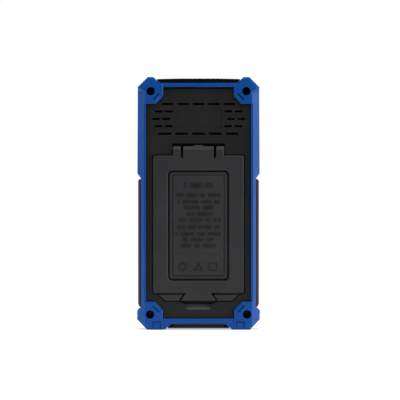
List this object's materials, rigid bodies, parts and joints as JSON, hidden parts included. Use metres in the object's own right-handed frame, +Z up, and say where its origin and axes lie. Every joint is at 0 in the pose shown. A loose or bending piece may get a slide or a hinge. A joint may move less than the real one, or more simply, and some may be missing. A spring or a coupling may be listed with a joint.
{
  "type": "laser distance meter",
  "caption": "Handheld laser distance meter with electrical test inputs, a bumper frame, a rear tilt stand over the battery cover, a rotary selector and push keys.",
  "frame": {"origin": "middle of the foot, on the plane that the lower corners of the bumper stand on", "axes": "+Z up the length towards the optics, +Y out of the rear face with the tilt stand, +X to the right seen from the display side"},
  "size_m": [0.0874, 0.046, 0.18],
  "materials": {
    "blue": "bright blue moulded soft plastic, satin",
    "black": "black moulded plastic, fine matt grain",
    "grip": "black rubber, matt",
    "grey": "dark grey moulded plastic, fine grain",
    "gloss_black": "polished black plastic",
    "lens": "red-tinted optical window",
    "board": "circuit board with near-black solder mask",
    "keys": "light grey satin key",
    "red": "red satin key",
    "steel": "plated steel",
    "black_steel": "black-oxide steel or black anodised metal",
    "brass": "bare brass",
    "ceramic": "off-white ceramic or diffuser",
    "display": "grey-green liquid crystal panel",
    "cell": "printed metal cell sleeve"
  },
  "bodies": {
    "housing": {"rear_case": "black", "front_case": "black", "receiver_barrel": "black", "bumper_frame": "blue", "side_grip_left": "grip", "side_grip_right": "grip", "keypad_mat": "grip", "battery_cover": "grey", "optics_bezel": "gloss_black", "display_window": "gloss_black", "buzzer": "gloss_black", "emitter_window": "lens", "receiver_window": "lens", "receiver_lens": "lens", "laser_module": "black_steel", "case_screw_1": "black_steel", "case_screw_2": "black_steel", "case_screw_3": "black_steel", "case_screw_4": "black_steel", "cover_screw_1": "black_steel", "cover_screw_2": "black_steel", "input_jack_1": "brass", "input_jack_2": "brass", "input_jack_3": "brass", "input_jack_4": "brass", "fuse_clip_1": "brass", "fuse_clip_2": "brass", "fuse_clip_3": "brass", "fuse_clip_4": "brass", "receiver_sensor": "steel", "board_screw_1": "steel", "board_screw_2": "steel", "board_screw_3": "steel", "board_screw_4": "steel", "battery_spring_1": "steel", "battery_spring_2": "steel", "battery_spring_3": "steel", "battery_plate_1": "steel", "battery_plate_2": "steel", "battery_plate_3": "steel", "main_board": "board", "distance_board": "board", "lcd_glass": "display", "lcd_backlight": "ceramic", "fuse_1": "ceramic", "fuse_2": "ceramic", "battery_1": "cell", "battery_2": "cell", "battery_3": "cell"},
    "tilt_stand": {"tilt_stand": "grey"},
    "selector": {"rotary_knob": "grip", "selector_rotor": "black"},
    "measure_key": {"measure_key": "red"},
    "function_key_1": {"function_key_1": "keys"},
    "function_key_2": {"function_key_2": "keys"},
    "function_key_3": {"function_key_3": "keys"},
    "function_key_4": {"function_key_4": "keys"}
  },
  "joints": [
    {"name": "stand_hinge", "type": "hinge", "parent": "housing", "child": "tilt_stand", "pos_m": [0, 0.0185, 0.1284], "axis": [1, 0, 0], "range_deg": [0, 60]},
    {"name": "selector_turn", "type": "hinge", "parent": "housing", "child": "selector", "pos_m": [0, -0.02, 0.062], "axis": [0, 1, 0], "range_deg": [-135, 135]},
    {"name": "measure_press", "type": "slide", "parent": "housing", "child": "measure_key", "axis": [0, 1, 0], "range_m": [0, 0.0008], "stiffness_N_per_m": 1500},
    {"name": "function_press_1", "type": "slide", "parent": "housing", "child": "function_key_1", "axis": [0, 1, 0], "range_m": [0, 0.0008], "stiffness_N_per_m": 1500},
    {"name": "function_press_2", "type": "slide", "parent": "housing", "child": "function_key_2", "axis": [0, 1, 0], "range_m": [0, 0.0008], "stiffness_N_per_m": 1500},
    {"name": "function_press_3", "type": "slide", "parent": "housing", "child": "function_key_3", "axis": [0, 1, 0], "range_m": [0, 0.0008], "stiffness_N_per_m": 1500},
    {"name": "function_press_4", "type": "slide", "parent": "housing", "child": "function_key_4", "axis": [0, 1, 0], "range_m": [0, 0.0008], "stiffness_N_per_m": 1500}
  ]
}
